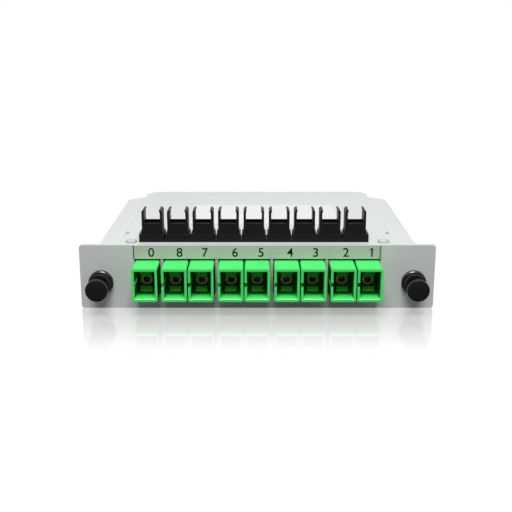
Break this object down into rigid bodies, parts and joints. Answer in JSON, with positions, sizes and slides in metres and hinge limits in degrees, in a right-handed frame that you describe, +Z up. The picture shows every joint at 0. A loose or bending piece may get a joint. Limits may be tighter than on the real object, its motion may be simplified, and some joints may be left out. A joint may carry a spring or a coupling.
{
  "type": "plug-in fibre splitter card",
  "caption": "Plug-in fibre splitter card: a low sheet-metal box with green adapters in its front panel, a comb of boot clips on the lid and push-pull latches at the ends.",
  "frame": {"origin": "middle of the card, in the panel's rear face, on the underside of the tray", "axes": "+X to the right of someone facing the panel, +Y into the box, +Z up"},
  "size_m": [0.13, 0.1132, 0.0354],
  "materials": {
    "panel_paint": "light grey, satin",
    "sheet_metal": "pale grey, satin",
    "cover_paint": "pale grey, satin",
    "screw_steel": "zinc plated, satin",
    "marking_foil": "grey, semi-gloss",
    "label_paper": "white, matt",
    "black_plastic": "black, fine texture",
    "latch_plastic": "black, semi-gloss",
    "green_plastic": "bright green, semi-gloss",
    "carrier_plastic": "dark green, semi-matt",
    "sleeve_bronze": "rolled phosphor bronze, darkened",
    "ceramic": "white, polished",
    "plug_plastic": "green, semi-gloss",
    "module_steel": "brushed",
    "fibre_jacket": "off-white, smooth",
    "saddle_plastic": "pale grey"
  },
  "bodies": {
    "card": {"front_panel": "panel_paint", "tray": "sheet_metal", "top_cover": "cover_paint", "cover_screws": "screw_steel", "marking_strip": "marking_foil", "top_label": "label_paper", "parking_comb": "black_plastic", "grommet_left": "latch_plastic", "grommet_right": "latch_plastic", "adapter_housing_input": "green_plastic", "adapter_housing_1": "green_plastic", "adapter_housing_2": "green_plastic", "adapter_housing_3": "green_plastic", "adapter_housing_4": "green_plastic", "adapter_housing_5": "green_plastic", "adapter_housing_6": "green_plastic", "adapter_housing_7": "green_plastic", "adapter_housing_8": "green_plastic", "latch_carrier_input": "carrier_plastic", "latch_carrier_1": "carrier_plastic", "latch_carrier_2": "carrier_plastic", "latch_carrier_3": "carrier_plastic", "latch_carrier_4": "carrier_plastic", "latch_carrier_5": "carrier_plastic", "latch_carrier_6": "carrier_plastic", "latch_carrier_7": "carrier_plastic", "latch_carrier_8": "carrier_plastic", "split_sleeve_input": "sleeve_bronze", "split_sleeve_1": "sleeve_bronze", "split_sleeve_2": "sleeve_bronze", "split_sleeve_3": "sleeve_bronze", "split_sleeve_4": "sleeve_bronze", "split_sleeve_5": "sleeve_bronze", "split_sleeve_6": "sleeve_bronze", "split_sleeve_7": "sleeve_bronze", "split_sleeve_8": "sleeve_bronze", "inner_plug_input": "plug_plastic", "inner_plug_1": "plug_plastic", "inner_plug_2": "plug_plastic", "inner_plug_3": "plug_plastic", "inner_plug_4": "plug_plastic", "inner_plug_5": "plug_plastic", "inner_plug_6": "plug_plastic", "inner_plug_7": "plug_plastic", "inner_plug_8": "plug_plastic", "plug_ferrule_input": "ceramic", "plug_ferrule_1": "ceramic", "plug_ferrule_2": "ceramic", "plug_ferrule_3": "ceramic", "plug_ferrule_4": "ceramic", "plug_ferrule_5": "ceramic", "plug_ferrule_6": "ceramic", "plug_ferrule_7": "ceramic", "plug_ferrule_8": "ceramic", "splitter_module": "module_steel", "fibre_coil": "fibre_jacket", "fibre_leads": "fibre_jacket", "fibre_saddles": "saddle_plastic"},
    "left_plunger": {"plunger_left": "latch_plastic"},
    "right_plunger": {"plunger_right": "latch_plastic"}
  },
  "joints": [
    {"name": "plunger_left_slide", "type": "slide", "parent": "card", "child": "left_plunger", "axis": [0, 1, 0], "range_m": [0, 0.0052]},
    {"name": "plunger_right_slide", "type": "slide", "parent": "card", "child": "right_plunger", "axis": [0, 1, 0], "range_m": [0, 0.0052]}
  ]
}
